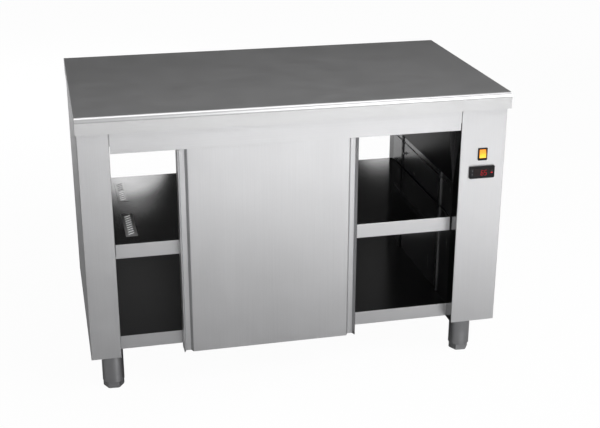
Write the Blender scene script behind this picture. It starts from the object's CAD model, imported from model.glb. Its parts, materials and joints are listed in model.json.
"""A stainless plate warmer cabinet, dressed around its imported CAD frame.

Metres, +Z up. The front faces -Y and the control column is on the right, at +X.
"""
import json
import math

import bmesh
import bpy
from mathutils import Matrix, Vector, noise

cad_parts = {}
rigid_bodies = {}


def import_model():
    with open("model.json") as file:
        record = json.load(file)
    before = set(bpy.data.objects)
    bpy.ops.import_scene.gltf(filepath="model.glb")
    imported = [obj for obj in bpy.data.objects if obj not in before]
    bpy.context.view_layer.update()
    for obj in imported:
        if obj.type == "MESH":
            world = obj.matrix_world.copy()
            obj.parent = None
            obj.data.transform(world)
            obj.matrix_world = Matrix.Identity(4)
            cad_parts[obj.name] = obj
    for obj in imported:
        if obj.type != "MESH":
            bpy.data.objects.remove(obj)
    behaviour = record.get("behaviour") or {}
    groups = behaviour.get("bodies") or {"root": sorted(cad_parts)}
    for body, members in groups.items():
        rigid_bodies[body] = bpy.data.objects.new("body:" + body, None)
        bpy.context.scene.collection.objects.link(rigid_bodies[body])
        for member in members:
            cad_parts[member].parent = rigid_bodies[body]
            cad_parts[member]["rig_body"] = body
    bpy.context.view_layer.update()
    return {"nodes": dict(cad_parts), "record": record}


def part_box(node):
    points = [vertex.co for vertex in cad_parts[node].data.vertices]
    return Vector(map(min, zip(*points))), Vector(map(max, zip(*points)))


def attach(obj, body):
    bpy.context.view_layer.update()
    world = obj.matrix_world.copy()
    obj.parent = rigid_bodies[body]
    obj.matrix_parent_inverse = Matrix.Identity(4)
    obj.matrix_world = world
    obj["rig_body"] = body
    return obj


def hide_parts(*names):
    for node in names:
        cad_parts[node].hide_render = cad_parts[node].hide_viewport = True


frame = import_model()

SLOT_OF = {part["node"]: part["material_slot"] for part in frame["record"]["subparts"]}
MM = 0.001

# Camera, solved from the photograph's straight edges
CAMERA_PLACE = (-0.668, -3.190, 1.673)
CAMERA_AZIMUTH = math.radians(-13.12)
CAMERA_ELEVATION = math.radians(21.22)
CAMERA_ROLL = math.radians(0.15)
CAMERA_LENS = 67.97
SENSOR_WIDTH = 36.0

# Noise values lie mostly between these
NOISE_LOW = 0.3
NOISE_HIGH = 0.7

# Brushed lines: their stretch, and the shares of lines and clouds in the colour
LINE_STRETCH = 0.008
LINE_SHARE = 0.45
CLOUD_SHARE = 0.55

# Roundings of folded sheet
FOLD = 2.2 * MM
FOLD_STEPS = 3
EDGE = 0.35 * MM
EDGE_STEPS = 2
SHORTEST_EDGE = 4.0             # in roundings: shorter edges stay sharp
LONG_EDGE = 200.0 * MM
SHARP_ANGLE = math.radians(30)
FLAT_ANGLE = math.radians(0.5)
SMOOTH_DOT = math.cos(math.radians(50))
SAME_PLACE = 1e-6
NO_SIZE = 1e-7
TOUCH = 0.1 * MM

# Worktop: the folds and the bevel along its front and rear
NOSE_FOLD = 6.1 * MM
NOSE_STEPS = 6
NOSE_DEPTH = 12.0 * MM
HEM_H = 10.0 * MM
BEVEL_SLOPE = (0.2, 0.78)

# Doors: the grip grooves' folds, the lip beside a groove and the sheet
GRIP_FOLD = 1.2 * MM
GRIP_INSET = 4.0 * MM
GRIP_LIP = 3.0 * MM
DOOR_SHEET = 1.0 * MM

# Shelf and floor
SHELF_FOLD = 0.9 * MM
SHELF_LIP = 2.5 * MM

# Sealant on the linings beside the shelf
SEAL_H = 14.0 * MM

# Rollers
ROLLER_BORE = 2.05 * MM
ROLLER_HUB = 4.3 * MM
ROLLER_RIM = 6.4 * MM
ROLLER_WEB = 0.9 * MM
ROLLER_FILLET = 0.4 * MM
ROLLER_CORNER = 0.6 * MM
ROLLER_CORNER_CUT = 0.2 * MM
GROOVE_HALF = 0.9 * MM
GROOVE_BED = 0.4 * MM
GROOVE_DEPTH = 0.45 * MM

# Feet
FOOT_R = 30.5 * MM
FOOT_TURN = 57.0
FOOT_TOP = 19.7 * MM
FOOT_CORNER_CUT = 3.2 * MM
FOOT_EDGE = 0.7 * MM
SPINDLE_R = 8.0 * MM
SPINDLE_SUNK = 1.0 * MM
THREAD_PITCH = 2.5 * MM
THREAD_DEPTH = 1.1 * MM
THREAD_STEPS = 4

# Motor, in millimetres: the bells and a fin as (along, in from the radius), the boss as
# (in from the end, radius)
SHAFT_R = 4.0 * MM
SHAFT_CUT = 0.5 * MM
FRONT_BELL = ((0.1, 5.0), (1.2, 1.8), (4.0, 0.4), (8.0, 0.0))
REAR_BELL = ((8.0, 0.0), (4.0, 0.6), (1.2, 2.4), (0.0, 6.0))
REAR_BOSS = ((0.0, 11.0), (2.0, 10.0), (2.0, 6.0), (0.0, 5.0), (0.0, 1.0))
FIN = ((1.6, 0.0), (2.0, 3.0), (4.0, 3.0), (4.4, 0.0))
FIN_PITCH = 4.4 * MM
FINS_END = 18.0 * MM

# Thermostat: digits, lamp and marks on the keys
DIGIT_X = (527.5 * MM, 537.5 * MM)
DIGIT_Z = 607.0 * MM
DIGIT_W = 6.6 * MM
DIGIT_H = 14.0 * MM
DIGIT_LEAN = 0.7 * MM
DIGIT_PROUD = 0.1 * MM
SEGMENT_W = 1.5 * MM
SEGMENT_GAP = 0.12
MARK_SUNK = 0.02 * MM
MARK_PROUD = 0.12 * MM
MARK_TIP = 1.6 * MM
MARK_BASE = 1.2 * MM
LAMP_W = 4.6 * MM
LAMP_H = 3.0 * MM
LAMP_PROUD = 0.6 * MM
LAMP_ASIDE = 0.6 * MM
LAMP_UP = 2.0 * MM
LAMP_DOME = ((0.0, 1.0), (0.35, 0.96), (0.65, 0.82), (0.88, 0.5))
LAMP_POINTS = 20

# Terminal screws: the head's profile holds (height, radius) in millimetres
TERMINAL_PITCH = 11.0 * MM
SCREW_INSET = 7.0 * MM
SCREW_SUNK = 0.2 * MM
SCREW_HEAD = ((0.0, 2.4), (0.7, 2.4), (0.9, 2.1), (0.9, 1.4), (0.3, 1.3), (0.3, 0.2))

# Mineral wool
WOOL_CELL = 22.0 * MM
WOOL_DEPTH = 3.0 * MM
WOOL_SHARE = 0.18
WOOL_WAVES = 70.0
WOOL_SHIFT = 7.3

# Studio
WORLD_LIGHT = 0.35
FLOOR_COLOR = (0.80, 0.80, 0.80)
NEAR_COLOR = (0.33, 0.33, 0.33)
TONE_ACROSS = 0.9
TONE_REACH = (0.2, 3.0)
FLOOR_GLOW = 0.97
FLOOR_HALF = 14.0


# ---- Node materials ----

class Tree:
    """Short calls for building one node tree."""

    def __init__(self, tree):
        self.tree = tree

    def node(self, kind, inputs=None, **settings):
        made = self.tree.nodes.new(kind)
        for key, value in settings.items():
            setattr(made, key, value)
        for key, value in (inputs or {}).items():
            if isinstance(value, bpy.types.NodeSocket):
                self.tree.links.new(value, made.inputs[key])
            else:
                made.inputs[key].default_value = value
        return made

    def link(self, start, end):
        self.tree.links.new(start, end)

    def math(self, operation, a, b=0.0):
        return self.node("ShaderNodeMath", {0: a, 1: b}, operation=operation).outputs[0]

    def noise(self, vector, scale, detail=2.0, roughness=0.5):
        values = {"Vector": vector, "Scale": scale, "Detail": detail, "Roughness": roughness}
        return self.node("ShaderNodeTexNoise", values).outputs["Fac"]

    def stretched(self, vector, scales):
        return self.node("ShaderNodeMapping", {"Vector": vector, "Scale": scales}).outputs[0]

    def spread(self, value, low, high):
        """Takes a noise value to lie mostly between low and high."""
        ends = {"Value": value, "From Min": NOISE_LOW, "From Max": NOISE_HIGH,
                "To Min": low, "To Max": high}
        return self.node("ShaderNodeMapRange", ends).outputs[0]

    def tint(self, value, dark, light):
        """A colour between two, by a noise value."""
        steps = self.node("ShaderNodeValToRGB", {"Fac": value})
        ramp = steps.color_ramp.elements
        ramp[0].position, ramp[1].position = NOISE_LOW, NOISE_HIGH
        ramp[0].color, ramp[1].color = (*dark, 1), (*light, 1)
        return steps.outputs[0]


def scaled(color, factor):
    return tuple(min(1.0, c * factor) for c in color)


def surface(name, metallic=0.0, **sockets):
    """A new material, its tree, its Principled shader and its object coordinates."""
    material = bpy.data.materials.new(name)
    material.use_nodes = True
    tree = Tree(material.node_tree)
    shader = material.node_tree.nodes["Principled BSDF"]
    shader.inputs["Metallic"].default_value = metallic
    for key, value in sockets.items():
        shader.inputs[key.replace("_", " ")].default_value = value
    place = tree.node("ShaderNodeTexCoord").outputs["Object"]
    return material, tree, shader, place


def add_bump(tree, shader, height, strength, distance):
    values = {"Strength": strength, "Distance": distance, "Height": height}
    tree.link(tree.node("ShaderNodeBump", values).outputs[0], shader.inputs["Normal"])


def brushed_metal(name, color, roughness, along="X", lines=620.0, depth=0.12, cloud=0.05,
                  wear=0.03, metallic=1.0, turned_grain=0.0):
    """Metal with fine brushed lines along one axis or around Z, soft clouds and handling marks.

    turned_grain stretches the highlights up a tube that was polished around its axis.
    """
    material, tree, shader, place = surface(name, metallic)
    long_way, short_way = lines * LINE_STRETCH, lines
    scales = {"X": (long_way, short_way, short_way),
              "Y": (short_way, long_way, short_way),
              "Z": (short_way, short_way, long_way),
              "around": (long_way, long_way, short_way)}[along]
    if turned_grain:
        shader.inputs["Anisotropic"].default_value = turned_grain
        shader.inputs["Anisotropic Rotation"].default_value = 0.25
        tangent = tree.node("ShaderNodeTangent", direction_type="RADIAL", axis="Z").outputs[0]
        tree.link(tangent, shader.inputs["Tangent"])
    grain = tree.noise(tree.stretched(place, scales), 1.0, detail=3.0, roughness=0.6)
    clouds = tree.noise(place, 3.1, detail=3.0)
    marks = tree.noise(place, 17.0, detail=5.0, roughness=0.65)
    both = tree.math("MULTIPLY_ADD", grain, LINE_SHARE)
    tree.link(tree.math("MULTIPLY", clouds, CLOUD_SHARE), both.node.inputs[2])
    toned = tree.tint(both, scaled(color, 1 - cloud), scaled(color, 1 + cloud))
    tree.link(toned, shader.inputs["Base Color"])
    uneven = tree.math("ADD", tree.spread(marks, -wear, wear),
                       tree.spread(grain, roughness - wear, roughness + wear))
    tree.link(uneven, shader.inputs["Roughness"])
    add_bump(tree, shader, grain, depth, 0.05 * MM)
    return material


def zinc(name, color):
    """Galvanised sheet with its crystal spangle."""
    material, tree, shader, place = surface(name, metallic=0.85)
    cells = tree.node("ShaderNodeTexVoronoi", {"Vector": place, "Scale": 85.0, "Randomness": 1.0})
    tone = tree.node("ShaderNodeSeparateColor", {"Color": cells.outputs["Color"]}).outputs[0]
    toned = tree.tint(tone, scaled(color, 0.85), scaled(color, 1.12))
    tree.link(toned, shader.inputs["Base Color"])
    tree.link(tree.spread(tone, 0.42, 0.55), shader.inputs["Roughness"])
    add_bump(tree, shader, tree.noise(place, 240.0, detail=3.0), 0.15, 0.1 * MM)
    return material


def plastic(name, color, roughness, grain=900.0, depth=0.2, variation=0.12, **sockets):
    """Moulded plastic with a fine eroded texture."""
    material, tree, shader, place = surface(name, **sockets)
    clouds = tree.noise(place, 40.0, detail=3.0)
    fine = tree.noise(place, grain, detail=2.0)
    toned = tree.tint(clouds, scaled(color, 1 - variation), scaled(color, 1 + variation))
    tree.link(toned, shader.inputs["Base Color"])
    tree.link(tree.spread(fine, roughness - 0.05, roughness + 0.05), shader.inputs["Roughness"])
    add_bump(tree, shader, fine, depth, 0.08 * MM)
    return material


def wool(name, color):
    """Mineral wool: tangled pale fibres."""
    material, tree, shader, place = surface(name, Sheen_Weight=0.3)
    strands = tree.stretched(place, (60.0, 240.0, 420.0))
    fibres = tree.noise(strands, 1.0, detail=6.0, roughness=0.7)
    toned = tree.tint(fibres, scaled(color, 0.6), scaled(color, 1.1))
    tree.link(toned, shader.inputs["Base Color"])
    tree.link(tree.spread(fibres, 0.9, 1.0), shader.inputs["Roughness"])
    add_bump(tree, shader, fibres, 0.8, 1.5 * MM)
    return material


def amber_lens(name):
    """The rocker's lens, lit from behind: orange above, brighter yellow below."""
    material, tree, shader, place = surface(name, Roughness=0.22, Coat_Weight=0.5,
                                            Emission_Strength=0.55)
    height = tree.node("ShaderNodeSeparateXYZ", {"Vector": place}).outputs[2]
    middle = (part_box("switch_rocker")[0].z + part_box("switch_rocker")[1].z) / 2
    values = {"Value": height, "From Min": middle - 5 * MM, "From Max": middle + 5 * MM,
              "To Min": NOISE_LOW, "To Max": NOISE_HIGH}
    share = tree.node("ShaderNodeMapRange", values).outputs[0]
    wobble = tree.math("MULTIPLY_ADD", tree.noise(place, 260.0, detail=2.0), 0.5)
    tree.link(tree.math("ADD", share, -0.25), wobble.node.inputs[2])
    glow = tree.tint(wobble, (1.0, 0.52, 0.03), (0.95, 0.28, 0.01))
    tree.link(glow, shader.inputs["Base Color"])
    tree.link(glow, shader.inputs["Emission Color"])
    add_bump(tree, shader, tree.noise(place, 700.0), 0.2, 0.1 * MM)
    return material


def glow(name, color, strength):
    """A lit lamp or segment under a diffusing cover."""
    material, tree, shader, place = surface(name, Roughness=0.35, Emission_Strength=strength,
                                            Specular_IOR_Level=0.15)
    mottled = tree.tint(tree.noise(place, 900.0), scaled(color, 0.75), color)
    tree.link(mottled, shader.inputs["Base Color"])
    tree.link(mottled, shader.inputs["Emission Color"])
    return material


def brushed_set(name, color, roughness, **rest):
    """The same steel with its lines along each axis."""
    return {axis: brushed_metal(f"{name}_{axis.lower()}", color, roughness, along=axis, **rest)
            for axis in "XYZ"}


CABINET_STEEL = brushed_set("cabinet_steel", (0.66, 0.66, 0.67), 0.36)
WORKTOP_STEEL = brushed_metal("worktop_steel_x", (0.66, 0.66, 0.665), 0.40, cloud=0.03, wear=0.015)
INNER_STEEL = brushed_set("inner_steel", (0.30, 0.30, 0.303), 0.12,
                          depth=0.02, cloud=0.03, wear=0.01)
LINING_STEEL = brushed_set("lining_steel", (0.20, 0.20, 0.202), 0.20,
                           depth=0.02, cloud=0.03, wear=0.01)
HOOD_STEEL = brushed_set("hood_steel", (0.05, 0.05, 0.052), 0.30,
                         depth=0.02, cloud=0.03, wear=0.01)
BEVEL_STEEL = brushed_metal("bevel_steel", (0.32, 0.32, 0.323), 0.40, cloud=0.03, wear=0.015)
GROOVE_STEEL = brushed_metal("groove_steel", (0.42, 0.42, 0.425), 0.34, along="Z")
LIP_STEEL = brushed_metal("lip_steel", (0.13, 0.13, 0.132), 0.36, along="Z")
SKINS = {
    "worktop_steel": WORKTOP_STEEL,
    "cabinet_steel": CABINET_STEEL["Z"],
    "inner_steel": INNER_STEEL["X"],
    "leg_steel": brushed_metal("leg_steel", (0.34, 0.34, 0.35), 0.36,
                               along="around", turned_grain=0.85),
    "galvanised": zinc("galvanised", (0.42, 0.44, 0.45)),
    "aluminium": brushed_metal("aluminium", (0.60, 0.60, 0.61), 0.38, along="X"),
    "mineral_wool": wool("mineral_wool", (0.62, 0.52, 0.28)),
    "rubber": plastic("rubber", (0.025, 0.025, 0.025), 0.7, depth=0.4),
    "nylon": plastic("nylon", (0.74, 0.73, 0.69), 0.42, variation=0.05),
    "black_plastic": plastic("black_plastic", (0.008, 0.008, 0.009), 0.38,
                             Specular_IOR_Level=0.2),
    "key_plastic": plastic("key_plastic", (0.02, 0.02, 0.022), 0.45, Specular_IOR_Level=0.3),
    "amber_lens": amber_lens("amber_lens"),
    "display_lens": plastic("display_lens", (0.008, 0.003, 0.003), 0.14, depth=0.05,
                            Specular_IOR_Level=0.22),
    "motor_paint": plastic("motor_paint", (0.06, 0.07, 0.085), 0.5),
    "heater_sheath": brushed_metal("heater_sheath", (0.16, 0.12, 0.10), 0.55,
                                   along="X", cloud=0.3),
    "terminal_plastic": plastic("terminal_plastic", (0.66, 0.63, 0.54), 0.45),
    "wire_jacket": plastic("wire_jacket", (0.30, 0.03, 0.02), 0.5),
}
LIT_SEGMENT = glow("lit_segment", (0.42, 0.008, 0.014), 0.40)
DARK_SEGMENT = plastic("dark_segment", (0.012, 0.004, 0.004), 0.3, Specular_IOR_Level=0.15)
VENT_STEEL = brushed_metal("vent_steel", (0.30, 0.30, 0.30), 0.60, along="Y", metallic=0.3)
WALL_STEEL = brushed_metal("wall_steel", (0.36, 0.36, 0.364), 0.26, along="Z",
                           depth=0.03, cloud=0.03, wear=0.01)
UPRIGHT_STEEL = brushed_metal("upright_steel", (0.16, 0.16, 0.162), 0.30, along="Z", depth=0.04)
RED_LAMP = glow("red_lamp", (0.85, 0.01, 0.02), 0.6)
KEY_MARK = plastic("key_mark", (0.16, 0.16, 0.165), 0.5)


# ---- Pieces ----

def finish_piece(piece, node):
    """Takes over from a CAD node: its body and its place."""
    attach(piece, frame["nodes"][node]["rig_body"])
    return piece


def object_from(bm, name, material, smooth=True):
    """A new object in the scene. The bmesh is used up."""
    mesh = bpy.data.meshes.new(name)
    bm.to_mesh(mesh)
    bm.free()
    piece = bpy.data.objects.new(name, mesh)
    bpy.context.scene.collection.objects.link(piece)
    mesh.materials.append(material)
    if smooth:
        even_normals(mesh)
    return piece


def even_normals(mesh):
    """Smooth shading in which large faces stay flat: corner normals are weighted by area."""
    for face in mesh.polygons:
        face.use_smooth = True
    around = [[] for _ in mesh.vertices]
    facts = [(face.normal.copy(), face.area) for face in mesh.polygons]
    for face in mesh.polygons:
        for vertex in face.vertices:
            around[vertex].append(facts[face.index])
    corners = [None] * len(mesh.loops)
    for face in mesh.polygons:
        own = facts[face.index][0]
        for corner in face.loop_indices:
            total = own * 1e-12
            for normal, area in around[mesh.loops[corner].vertex_index]:
                if own.dot(normal) > SMOOTH_DOT:
                    total = total + normal * area
            corners[corner] = total.normalized()
    mesh.normals_split_custom_set(corners)


def sharp_edges(bm, wanted=None):
    """The edges that bend sharply, or those of them that wanted(middle, edge) picks."""
    return [edge for edge in bm.edges
            if len(edge.link_faces) == 2 and edge.calc_face_angle(0.0) > SHARP_ANGLE
            and (wanted is None or wanted((edge.verts[0].co + edge.verts[1].co) / 2, edge))]


def round_edges(bm, edges, width, steps):
    if edges:
        bmesh.ops.bevel(bm, geom=edges, offset=width, segments=steps, affect="EDGES",
                        profile=0.5, clamp_overlap=True)


def rounded_copy(node, name, material=None, folds=None, fold=FOLD, steps=FOLD_STEPS, edge=EDGE,
                 others=(), cuts=()):
    """A copy of a CAD node with round folds where the sheet is bent and softened edges elsewhere.

    folds(middle, line) picks the edges that are folds. They get the radius fold in that many
    steps, and the other edges the radius edge.
    others holds (material, test) pairs, for the faces that show another finish.
    cuts holds heights at which the faces are divided before they get their finish.
    """
    bm = bmesh.new()
    bm.from_mesh(frame["nodes"][node].data)
    bmesh.ops.remove_doubles(bm, verts=bm.verts, dist=SAME_PLACE)
    bmesh.ops.dissolve_limit(bm, angle_limit=FLAT_ANGLE, verts=bm.verts, edges=bm.edges)

    def long_enough(middle, line):
        return line.calc_length() > SHORTEST_EDGE * edge

    if folds:
        round_edges(bm, sharp_edges(bm, folds), fold, steps)
    if edge:
        round_edges(bm, sharp_edges(bm, long_enough), edge, EDGE_STEPS)
    bmesh.ops.dissolve_degenerate(bm, dist=NO_SIZE, edges=bm.edges)
    for height in cuts:
        bmesh.ops.bisect_plane(bm, geom=bm.verts[:] + bm.edges[:] + bm.faces[:],
                               plane_co=(0, 0, height), plane_no=(0, 0, 1))
    for face in bm.faces:
        middle, normal = face.calc_center_median(), face.normal
        picks = [index for index, (_, test) in enumerate(others, 1) if test(middle, normal)]
        face.material_index = picks[0] if picks else 0
    piece = object_from(bm, name, material or SKINS[SLOT_OF[node]])
    for other, _ in others:
        piece.data.materials.append(other)
    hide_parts(node)
    return finish_piece(piece, node)


def upright(edge):
    direction = edge.verts[1].co - edge.verts[0].co
    return abs(direction.z) > 0.9 * direction.length


def lengthwise(edge):
    direction = edge.verts[1].co - edge.verts[0].co
    return abs(direction.x) > 0.9 * direction.length


def near(value, target):
    return abs(value - target) < TOUCH


def rear_half(middle, normal):
    return middle.y > 0


def outer_folds(node):
    """A test for a casing's outside corners: long upright edges on its front or rear face."""
    low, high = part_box(node)

    def folds(middle, edge):
        outside = near(middle.y, low.y) or near(middle.y, high.y)
        return upright(edge) and edge.calc_length() > LONG_EDGE and outside

    return folds


# ---- Sheet metal ----

def make_worktop():
    """The worktop: wide folds in front and behind, and the front bevel in a darker finish."""
    low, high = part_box("worktop")

    def folds(middle, edge):
        outside = middle.y < low.y + NOSE_DEPTH or middle.y > high.y - NOSE_DEPTH
        return lengthwise(edge) and middle.z > low.z + HEM_H and outside

    def front_slope(middle, normal):
        sloping = BEVEL_SLOPE[0] < normal.z < BEVEL_SLOPE[1] and normal.y < -0.1
        return sloping and middle.y < low.y + NOSE_DEPTH

    rounded_copy("worktop", "worktop_sheet", folds=folds, fold=NOSE_FOLD, steps=NOSE_STEPS,
                 others=((BEVEL_STEEL, front_slope),))


def make_cabinet():
    """The casings, darker on the faces towards the opening, the rails and the tracks."""
    for node, side in (("left_casing", 1), ("right_casing", -1)):
        low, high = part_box(node)
        opening = high.x if side > 0 else low.x

        def inside(middle, normal):
            return normal.x * side > 0.7 and near(middle.x, opening)

        rounded_copy(node, f"{node}_sheet", folds=outer_folds(node),
                     others=((LINING_STEEL["Z"], inside),))
    rounded_copy("door_rails", "door_rails_sheet", CABINET_STEEL["X"])
    rounded_copy("door_tracks", "door_tracks_profile")


def make_doors():
    """Four doors, with finishes of their own on a groove's slope and on the lip at its edge."""
    for side in ("front", "rear"):
        for lane in ("outer", "inner"):
            door = f"{side}_{lane}_door"
            low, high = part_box(f"{door}_skin")

            def folds(middle, edge):
                return upright(edge) and low.x + GRIP_INSET < middle.x < high.x - GRIP_INSET

            def slope(middle, normal):
                between = low.y + DOOR_SHEET < middle.y < high.y - DOOR_SHEET
                return normal.x < -0.6 and between and middle.x > low.x + GRIP_LIP

            def lip(middle, normal):
                return middle.x > high.x - GRIP_LIP and abs(normal.y) > 0.3

            rounded_copy(f"{door}_skin", f"{door}_sheet", folds=folds, fold=GRIP_FOLD,
                         others=((GROOVE_STEEL, slope), (LIP_STEEL, lip)))
            rounded_copy(f"{door}_back", f"{door}_inner_sheet", LINING_STEEL["Z"],
                         edge=0.25 * MM)


def make_shelves():
    """Shelf and floor with bright lips and dark ends, and the shelf's vents, uprights and hooks."""
    for node in ("middle_shelf", "floor_panel"):
        low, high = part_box(node)

        def folds(middle, edge):
            return lengthwise(edge) and (near(middle.y, low.y) or near(middle.y, high.y))

        def lips(middle, normal):
            outside = middle.y < low.y + SHELF_LIP or middle.y > high.y - SHELF_LIP
            return outside and abs(normal.y) > 0.9

        def ends(middle, normal):
            return abs(normal.x) > 0.3

        main = INNER_STEEL["X"] if node == "middle_shelf" else HOOD_STEEL["X"]
        rounded_copy(node, f"{node}_sheet", main, folds, fold=SHELF_FOLD,
                     others=((CABINET_STEEL["X"], lips), (HOOD_STEEL["Y"], ends)))
    rounded_copy("shelf_vents", "shelf_vent_louvres", VENT_STEEL, edge=0.25 * MM,
                 others=((INNER_STEEL["Y"], rear_half),))
    rounded_copy("shelf_uprights", "shelf_upright_strips", UPRIGHT_STEEL, edge=0.2 * MM,
                 others=((HOOD_STEEL["Z"], rear_half),))
    rounded_copy("shelf_hooks", "shelf_hook_brackets", UPRIGHT_STEEL, edge=0.4 * MM)


def make_linings():
    """Linings with a dark bead of sealant beside the shelf, the ceiling and the air hood."""
    shelf_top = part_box("middle_shelf")[1].z

    def bead(middle, normal):
        return shelf_top - SEAL_H < middle.z < shelf_top and abs(normal.x) > 0.5

    for node in ("left_lining", "right_lining"):
        rounded_copy(node, f"{node}_sheet", WALL_STEEL, edge=0.2 * MM,
                     others=((SKINS["rubber"], bead),), cuts=(shelf_top - SEAL_H, shelf_top))
    rounded_copy("ceiling_panel", "ceiling_sheet", LINING_STEEL["X"], edge=0.2 * MM)
    rounded_copy("air_hood", "air_hood_sheet", HOOD_STEEL["Y"], edge=0.3 * MM)


def soften_the_rest():
    """Copies with softened edges.

    Each row ends with the radius in millimetres: 0 leaves them sharp.
    """
    for node, ending, radius in (
            ("worktop_stiffeners", "channels", 0.3), ("floor_stiffeners", "channels", 0.3),
            ("base_pan", "sheet", 0.2), ("base_plates", "sheet", 0.3),
            ("leg_plates", "bolted", 0.4), ("leg_tubes", "rounded", 0.4),
            ("leg_plugs", "moulded", 0.4), ("switch_body", "moulded", 0.5),
            ("switch_rocker", "lens", 0.7), ("thermostat_body", "moulded", 0.6),
            ("thermostat_window", "lens", 0.3), ("thermostat_key_up", "button", 0.4),
            ("thermostat_key_down", "button", 0.4), ("thermostat_key_set", "button", 0.4),
            ("terminal_block", "moulded", 0.5), ("cable_gland", "moulded", 0.5),
            ("fan_housing", "box", 0.3), ("track_stops", "blocks", 1.0),
            ("door_guides", "moulded", 0.4), ("temperature_probe", "turned", 0.3),
            ("fan_wheel", "blades", 0.15), ("heating_element", "tubular", 0.0),
            ("wiring", "leads", 0.0)):
        rounded_copy(node, f"{node}_{ending}", edge=radius * MM)


# ---- Small built pieces ----

def turned(bm, profile, centre, axis, segments=48):
    """The rings of a body turned about an axis, from (distance along, radius) points."""
    side = {"X": (Vector((1, 0, 0)), Vector((0, 1, 0)), Vector((0, 0, 1))),
            "Y": (Vector((0, 1, 0)), Vector((0, 0, 1)), Vector((1, 0, 0))),
            "Z": (Vector((0, 0, 1)), Vector((1, 0, 0)), Vector((0, 1, 0)))}[axis]
    rings = []
    for along, radius in profile:
        ring = []
        for i in range(segments):
            turn = 2 * math.pi * i / segments
            outward = side[1] * math.cos(turn) + side[2] * math.sin(turn)
            ring.append(bm.verts.new(centre + side[0] * along + outward * radius))
        rings.append(ring)
    return rings


def skin_rings(bm, rings, closed):
    """Joins rings with quads, and caps both ends where they aren't closed into each other."""
    count = len(rings[0])
    pairs = list(zip(rings, rings[1:]))
    if closed:
        pairs.append((rings[-1], rings[0]))
    for low, high in pairs:
        for i in range(count):
            j = (i + 1) % count
            bm.faces.new((low[i], low[j], high[j], high[i]))
    if not closed:
        bm.faces.new(list(reversed(rings[0])))
        bm.faces.new(rings[-1])
    bmesh.ops.recalc_face_normals(bm, faces=bm.faces)


def make_rollers():
    """Nylon rollers with a hub, a rim and a shallow running groove."""
    for side in ("front", "rear"):
        for lane in ("outer", "inner"):
            for end in ("left", "right"):
                node = f"{side}_{lane}_roller_{end}"
                low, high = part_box(node)
                half = (high.y - low.y) / 2
                radius = (high.x - low.x) / 2
                one_side = [(half, ROLLER_BORE), (half, ROLLER_HUB),
                            (half - ROLLER_WEB, ROLLER_HUB + ROLLER_FILLET),
                            (half - ROLLER_WEB, ROLLER_RIM - ROLLER_FILLET),
                            (half, ROLLER_RIM), (half, radius - ROLLER_CORNER),
                            (half - ROLLER_CORNER_CUT, radius - ROLLER_CORNER_CUT),
                            (half - ROLLER_CORNER, radius), (GROOVE_HALF, radius),
                            (GROOVE_BED, radius - GROOVE_DEPTH)]
                profile = [(-along, r) for along, r in one_side] + one_side[::-1]
                bm = bmesh.new()
                skin_rings(bm, turned(bm, profile, (low + high) / 2, "Y"), closed=True)
                piece = object_from(bm, f"{node}_wheel", SKINS["nylon"])
                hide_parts(node)
                finish_piece(piece, node)


def thread_rings(bm, centre, low_z, high_z, radius, pitch, depth, segments=24):
    """The rings of a threaded spindle: the radius follows a helix."""
    count = int((high_z - low_z) / (pitch / THREAD_STEPS))
    rings = []
    for k in range(count + 1):
        z = low_z + (high_z - low_z) * k / count
        ring = []
        for i in range(segments):
            turn = i / segments
            phase = (z / pitch - turn) % 1.0
            reach = radius - depth * abs(2 * phase - 1)
            ring.append(bm.verts.new((centre.x + reach * math.cos(2 * math.pi * turn),
                                      centre.y + reach * math.sin(2 * math.pi * turn), z)))
        rings.append(ring)
    return rings


def make_feet():
    """A hexagonal foot with cut lower corners, on a threaded spindle."""
    for place in ("front_left", "front_right", "rear_left", "rear_right"):
        node = f"foot_{place}"
        low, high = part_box(node)
        centre = Vector(((low.x + high.x) / 2, (low.y + high.y) / 2, 0.0))
        bm = bmesh.new()
        for z in (0.0, FOOT_TOP):
            for i in range(6):
                turn = math.radians(FOOT_TURN + 60 * i)
                bm.verts.new((centre.x + FOOT_R * math.cos(turn),
                              centre.y + FOOT_R * math.sin(turn), z))
        bmesh.ops.convex_hull(bm, input=bm.verts)
        bmesh.ops.dissolve_limit(bm, angle_limit=math.radians(1), verts=bm.verts, edges=bm.edges)
        lower = [vertex for vertex in bm.verts if vertex.co.z < 1 * MM]
        bmesh.ops.bevel(bm, geom=lower, offset=FOOT_CORNER_CUT, segments=1, affect="VERTICES")
        round_edges(bm, sharp_edges(bm), FOOT_EDGE, EDGE_STEPS)
        spindle = bmesh.new()
        rings = thread_rings(spindle, centre, FOOT_TOP - SPINDLE_SUNK, high.z, SPINDLE_R,
                             THREAD_PITCH, THREAD_DEPTH)
        skin_rings(spindle, rings, closed=False)
        made = bpy.data.meshes.new("spindle")
        spindle.to_mesh(made)
        spindle.free()
        bm.from_mesh(made)
        bpy.data.meshes.remove(made)
        piece = object_from(bm, f"{node}_threaded", SKINS["leg_steel"])
        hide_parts(node)
        finish_piece(piece, node)


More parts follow.
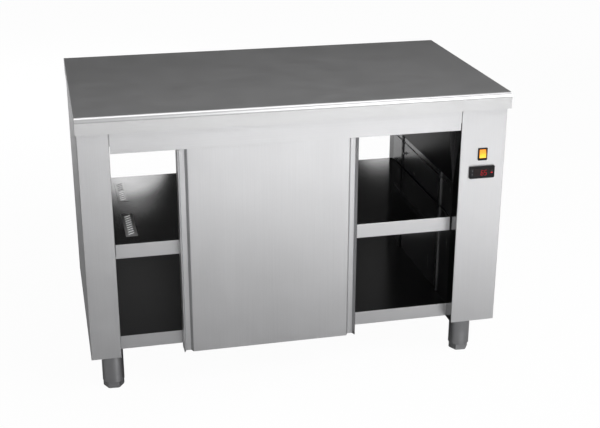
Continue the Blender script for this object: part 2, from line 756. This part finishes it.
def make_motor():
    """A motor with rings of cooling fins, round end bells and its shaft."""
    low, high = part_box("fan_motor")
    radius = (high.z - low.z) / 2
    centre = Vector((0.0, (low.y + high.y) / 2, (low.z + high.z) / 2))
    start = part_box("fan_housing")[1].x
    profile = [(low.x, SHAFT_R - SHAFT_CUT), (low.x + SHAFT_CUT, SHAFT_R),
               (start + FRONT_BELL[0][0] * MM, SHAFT_R)]
    profile += [(start + along * MM, radius - inward * MM) for along, inward in FRONT_BELL]
    fin = profile[-1][0]
    while fin < high.x - FINS_END:
        profile += [(fin + along * MM, radius - inward * MM) for along, inward in FIN]
        fin += FIN_PITCH
    profile += [(high.x - along * MM, radius - inward * MM) for along, inward in REAR_BELL]
    profile += [(high.x - along * MM, reach * MM) for along, reach in REAR_BOSS]
    bm = bmesh.new()
    skin_rings(bm, turned(bm, profile, centre, "X"), closed=False)
    piece = object_from(bm, "fan_motor_finned", SKINS["motor_paint"])
    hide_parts("fan_motor")
    finish_piece(piece, "fan_motor")


def slab_into(bm, low, high, cell):
    """A box of cells whose surface is roughened inward, so it stays inside its box."""
    size = high - low
    counts = [max(2, round(length / cell)) for length in size]
    spots = {}

    def vertex(i, j, k):
        if (i, j, k) not in spots:
            share = Vector((i / counts[0], j / counts[1], k / counts[2]))
            spot = Vector(low[a] + size[a] * share[a] for a in range(3))
            for a in range(3):
                index = (i, j, k)[a]
                if index in (0, counts[a]):
                    shifted = spot * WOOL_WAVES + Vector((WOOL_SHIFT * a, 0, 0))
                    waves = noise.fractal(shifted, 1.0, 2.0, 3)
                    deep = min(1.0, max(0.0, 0.5 + 0.6 * waves))
                    push = min(WOOL_DEPTH, WOOL_SHARE * size[a]) * deep
                    spot[a] += push if index == 0 else -push
            spots[i, j, k] = bm.verts.new(spot)
        return spots[i, j, k]

    for a in range(3):
        b, c = [other for other in range(3) if other != a]
        for end in (0, counts[a]):
            for u in range(counts[b]):
                for v in range(counts[c]):
                    quad = []
                    for du, dv in ((0, 0), (1, 0), (1, 1), (0, 1)):
                        index = [0, 0, 0]
                        index[a], index[b], index[c] = end, u + du, v + dv
                        quad.append(vertex(*index))
                    bm.faces.new(quad)


def make_insulation():
    """Mineral wool slabs with a tufted surface, one for each CAD slab."""
    node = frame["nodes"]["insulation_slabs"]
    whole = bmesh.new()
    whole.from_mesh(node.data)
    bmesh.ops.remove_doubles(whole, verts=whole.verts, dist=SAME_PLACE)
    bm = bmesh.new()
    seen = set()
    for seed in whole.verts:
        if seed in seen:
            continue
        seen.add(seed)
        group, waiting = [], [seed]
        while waiting:
            vertex = waiting.pop()
            group.append(vertex)
            for edge in vertex.link_edges:
                other = edge.other_vert(vertex)
                if other not in seen:
                    seen.add(other)
                    waiting.append(other)
        low = Vector(min(v.co[a] for v in group) for a in range(3))
        high = Vector(max(v.co[a] for v in group) for a in range(3))
        slab_into(bm, low, high, WOOL_CELL)
    whole.free()
    bmesh.ops.recalc_face_normals(bm, faces=bm.faces)
    piece = object_from(bm, "insulation_tufted", SKINS["mineral_wool"])
    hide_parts("insulation_slabs")
    finish_piece(piece, "insulation_slabs")


# ---- Marks and lamps on the controls ----

def prism(bm, outline, front_y, thickness, index):
    """A thin plate with an outline in x and z, standing proud of a front face."""
    front = [bm.verts.new((x, front_y - thickness, z)) for x, z in outline]
    back = [bm.verts.new((x, front_y, z)) for x, z in outline]
    made = [bm.faces.new(front), bm.faces.new(list(reversed(back)))]
    for i in range(len(outline)):
        j = (i + 1) % len(outline)
        made.append(bm.faces.new((front[j], front[i], back[i], back[j])))
    for face in made:
        face.material_index = index


def bar(x0, z0, x1, z1, width):
    """The six corners of one segment, pointed at both ends."""
    length = math.hypot(x1 - x0, z1 - z0)
    ux, uz = (x1 - x0) / length * width / 2, (z1 - z0) / length * width / 2
    return [(x0, z0), (x0 + ux - uz, z0 + uz + ux), (x1 - ux - uz, z1 - uz + ux), (x1, z1),
            (x1 - ux + uz, z1 - uz - ux), (x0 + ux + uz, z0 + uz - ux)]


# Each segment's ends, as (across, up) in steps of a digit's width and half its height
SEGMENTS = {
    "top": ((0, 2), (1, 2)),
    "upper_left": ((0, 1), (0, 2)),
    "upper_right": ((1, 1), (1, 2)),
    "middle": ((0, 1), (1, 1)),
    "lower_left": ((0, 0), (0, 1)),
    "lower_right": ((1, 0), (1, 1)),
    "bottom": ((0, 0), (1, 0)),
}
SIX = ("top", "upper_left", "middle", "lower_left", "lower_right", "bottom")
FIVE = ("top", "upper_left", "middle", "lower_right", "bottom")


def make_digits():
    """Two seven-segment digits, on the front of the thermostat's window."""
    face_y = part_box("thermostat_window")[0].y
    bm = bmesh.new()
    for start, lit in ((DIGIT_X[0], SIX), (DIGIT_X[1], FIVE)):
        for name, ends in SEGMENTS.items():
            (x0, z0), (x1, z1) = [(start + u * DIGIT_W + v * DIGIT_LEAN, DIGIT_Z + v * DIGIT_H / 2)
                                  for u, v in ends]
            a = (x0 + (x1 - x0) * SEGMENT_GAP / 2, z0 + (z1 - z0) * SEGMENT_GAP / 2)
            b = (x1 + (x0 - x1) * SEGMENT_GAP / 2, z1 + (z0 - z1) * SEGMENT_GAP / 2)
            prism(bm, bar(*a, *b, SEGMENT_W), face_y + MARK_SUNK, DIGIT_PROUD,
                  0 if name in lit else 1)
    bmesh.ops.recalc_face_normals(bm, faces=bm.faces)
    piece = object_from(bm, "thermostat_digits", LIT_SEGMENT)
    piece.data.materials.append(DARK_SEGMENT)
    finish_piece(piece, "thermostat_window")


def make_key_marks():
    """A raised triangle on the up and down keys, and a lit lens on the set key."""
    for node, point in (("thermostat_key_up", 1), ("thermostat_key_down", -1)):
        low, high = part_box(node)
        x, z = (low.x + high.x) / 2, (low.z + high.z) / 2
        bm = bmesh.new()
        base = z - point * MARK_BASE
        prism(bm, [(x - MARK_TIP, base), (x, z + point * MARK_TIP), (x + MARK_TIP, base)],
              low.y + MARK_SUNK, MARK_PROUD, 0)
        bmesh.ops.recalc_face_normals(bm, faces=bm.faces)
        finish_piece(object_from(bm, f"{node}_mark", KEY_MARK), node)
    low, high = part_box("thermostat_key_set")
    x, z = (low.x + high.x) / 2 - LAMP_ASIDE, low.z + LAMP_UP
    bm = bmesh.new()
    rings = []
    for share, reach in LAMP_DOME:
        y = low.y + MARK_SUNK - LAMP_PROUD * share
        ring = []
        for i in range(LAMP_POINTS):
            turn = 2 * math.pi * i / LAMP_POINTS
            ring.append(bm.verts.new((x + LAMP_W / 2 * reach * math.cos(turn), y,
                                      z + LAMP_H / 2 * reach * math.sin(turn))))
        rings.append(ring)
    skin_rings(bm, rings, closed=False)
    finish_piece(object_from(bm, "thermostat_key_set_lamp", RED_LAMP), "thermostat_key_set")


def make_terminal_screws():
    """Five screw heads, each with a round hollow, on the terminal block."""
    low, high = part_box("terminal_block")
    profile = [(height * MM, radius * MM) for height, radius in SCREW_HEAD]
    bm = bmesh.new()
    for i in range(-2, 3):
        centre = Vector(((low.x + high.x) / 2 + i * TERMINAL_PITCH,
                         low.y + SCREW_INSET, high.z - SCREW_SUNK))
        skin_rings(bm, turned(bm, profile, centre, "Z", 24), closed=False)
    screws = object_from(bm, "terminal_screws", SKINS["galvanised"])
    finish_piece(screws, "terminal_block")


def dress_remaining():
    """Gives every CAD node that still shows the material of its slot."""
    for name, node in frame["nodes"].items():
        node.data.materials.clear()
        node.data.materials.append(SKINS[SLOT_OF[name]])
        for face in node.data.polygons:
            face.material_index = 0


# ---- Studio ----

def make_camera():
    """The camera, from its place, azimuth, elevation and roll."""
    a, e = CAMERA_AZIMUTH, CAMERA_ELEVATION
    back = Vector((math.sin(a) * math.cos(e), -math.cos(a) * math.cos(e), math.sin(e)))
    right = Vector((math.cos(a), math.sin(a), 0.0))
    up = back.cross(right)
    rolled_right = right * math.cos(CAMERA_ROLL) + up * math.sin(CAMERA_ROLL)
    rolled_up = up * math.cos(CAMERA_ROLL) - right * math.sin(CAMERA_ROLL)
    data = bpy.data.cameras.new("camera")
    data.lens = CAMERA_LENS
    data.sensor_width = SENSOR_WIDTH
    camera = bpy.data.objects.new("camera", data)
    turn = Matrix((rolled_right, rolled_up, back)).transposed().to_4x4()
    camera.matrix_world = Matrix.Translation(CAMERA_PLACE) @ turn
    bpy.context.scene.collection.objects.link(camera)
    bpy.context.scene.camera = camera


def seen_directly(tree):
    """1 for rays from the camera, from gloss and through glass, and 0 for soft light."""
    path = tree.node("ShaderNodeLightPath").outputs
    some = tree.math("MAXIMUM", path["Is Camera Ray"], path["Is Glossy Ray"])
    return tree.math("MAXIMUM", some, path["Is Transmission Ray"])


def make_world():
    """White for the camera, in gloss and through glass, and dimmer as soft light."""
    world = bpy.data.worlds.new("studio")
    bpy.context.scene.world = world
    world.use_nodes = True
    tree = Tree(world.node_tree)
    sky = world.node_tree.nodes["Background"]
    sky.inputs["Color"].default_value = (1, 1, 1, 1)
    ends = {"Value": seen_directly(tree), "To Min": WORLD_LIGHT, "To Max": 1.0}
    white = tree.node("ShaderNodeMapRange", ends)
    tree.link(white.outputs[0], sky.inputs["Strength"])


def make_floor():
    """A pale floor that keeps the cabinet's shadow and is near white for the camera.

    In gloss and as soft light it is darker near the cabinet and on its left.
    """
    bm = bmesh.new()
    bmesh.ops.create_grid(bm, x_segments=8, y_segments=8, size=FLOOR_HALF)
    material, tree, shader, place = surface("studio_floor", Roughness=0.9)
    pale = tree.tint(tree.noise(place, 6.0), scaled(FLOOR_COLOR, 0.99), FLOOR_COLOR)
    path = tree.node("ShaderNodeLightPath").outputs
    spot = tree.node("ShaderNodeSeparateXYZ", {"Vector": place}).outputs
    away = tree.math("ABSOLUTE", spot[1])
    slant = tree.math("ADD", tree.math("MULTIPLY", spot[0], TONE_ACROSS),
                      tree.math("MULTIPLY", away, TONE_ACROSS))
    ends = {"Value": slant, "From Min": TONE_REACH[0], "From Max": TONE_REACH[1]}
    far = tree.node("ShaderNodeMapRange", ends, interpolation_type="SMOOTHSTEP").outputs[0]
    toned = tree.node("ShaderNodeMix",
                      {"Factor": tree.math("MAXIMUM", far, path["Is Camera Ray"]),
                       "A": (*NEAR_COLOR, 1), "B": pale}, data_type="RGBA")
    tree.link(toned.outputs["Result"], shader.inputs["Base Color"])
    lit = tree.node("ShaderNodeEmission", {"Color": (1, 1, 1, 1), "Strength": 1.0})
    share = tree.math("MULTIPLY", path["Is Camera Ray"], FLOOR_GLOW)
    mixed = tree.node("ShaderNodeMixShader", {0: share, 1: shader.outputs[0], 2: lit.outputs[0]})
    tree.link(mixed.outputs[0], tree.tree.nodes["Material Output"].inputs["Surface"])
    floor = object_from(bm, "floor", material, smooth=False)


def aim(thing, target):
    direction = Vector(target) - thing.location
    thing.rotation_euler = direction.to_track_quat("-Z", "Y").to_euler()


def softbox(name, place, target, size, watts, spread=180.0):
    """An oval area lamp that the camera doesn't see. spread is in degrees."""
    light = bpy.data.lights.new(name, "AREA")
    light.shape = "ELLIPSE"
    light.size, light.size_y = size
    light.energy = watts
    light.spread = math.radians(spread)
    box = bpy.data.objects.new(name, light)
    box.location = place
    aim(box, target)
    box.visible_camera = False
    bpy.context.scene.collection.objects.link(box)


def card(name, place, target, size, tone):
    """A dark studio card: it takes light away from gloss, and the camera doesn't see it."""
    bm = bmesh.new()
    bmesh.ops.create_grid(bm, x_segments=1, y_segments=1, size=0.5)
    for vertex in bm.verts:
        vertex.co.x *= size[0]
        vertex.co.y *= size[1]
    material, tree, shader, where = surface(name, Roughness=1.0)
    toned = tree.tint(tree.noise(where, 3.0), scaled(tone, 0.9), tone)
    tree.link(toned, shader.inputs["Base Color"])
    made = object_from(bm, name, material, smooth=False)
    made.location = place
    aim(made, target)
    made.visible_camera = False
    made.visible_shadow = False


def make_studio():
    bpy.context.scene.view_settings.view_transform = "Standard"
    make_world()
    make_floor()
    softbox("key", (1.6, -2.6, 2.9), (0.0, -0.6, 0.3), (2.4, 1.6), 110.0)
    softbox("top", (0.3, 0.2, 3.2), (0.2, 0.0, 0.8), (3.0, 2.4), 21.0)
    # These two shine straight down, and light the rear and the front from the floor
    softbox("back_wash", (-0.5, 3.0, 2.0), (-0.5, 3.0, 0.0), (2.0, 1.4), 20.0, 100.0)
    softbox("floor_wash", (0.7, -3.5, 2.2), (0.7, -3.5, 0.0), (2.0, 1.4), 27.0, 100.0)
    # Two narrow ones behind make the soft spots on the shelf
    softbox("shelf_left", (-0.28, 2.2, 1.06), (-0.42, 0.26, 0.386), (0.36, 0.34), 0.0012, 8.0)
    softbox("shelf_right", (1.02, 2.2, 1.05), (0.43, 0.25, 0.37), (0.28, 0.22), 0.0005, 8.0)
    card("back_card", (0.0, 2.6, 2.6), (0.0, 0.0, 1.2), (9.0, 4.2), (0.02, 0.02, 0.02))


make_camera()
make_worktop()
make_cabinet()
make_doors()
make_shelves()
make_linings()
soften_the_rest()
make_rollers()
make_feet()
make_motor()
make_insulation()
make_digits()
make_key_marks()
make_terminal_screws()
dress_remaining()
make_studio()
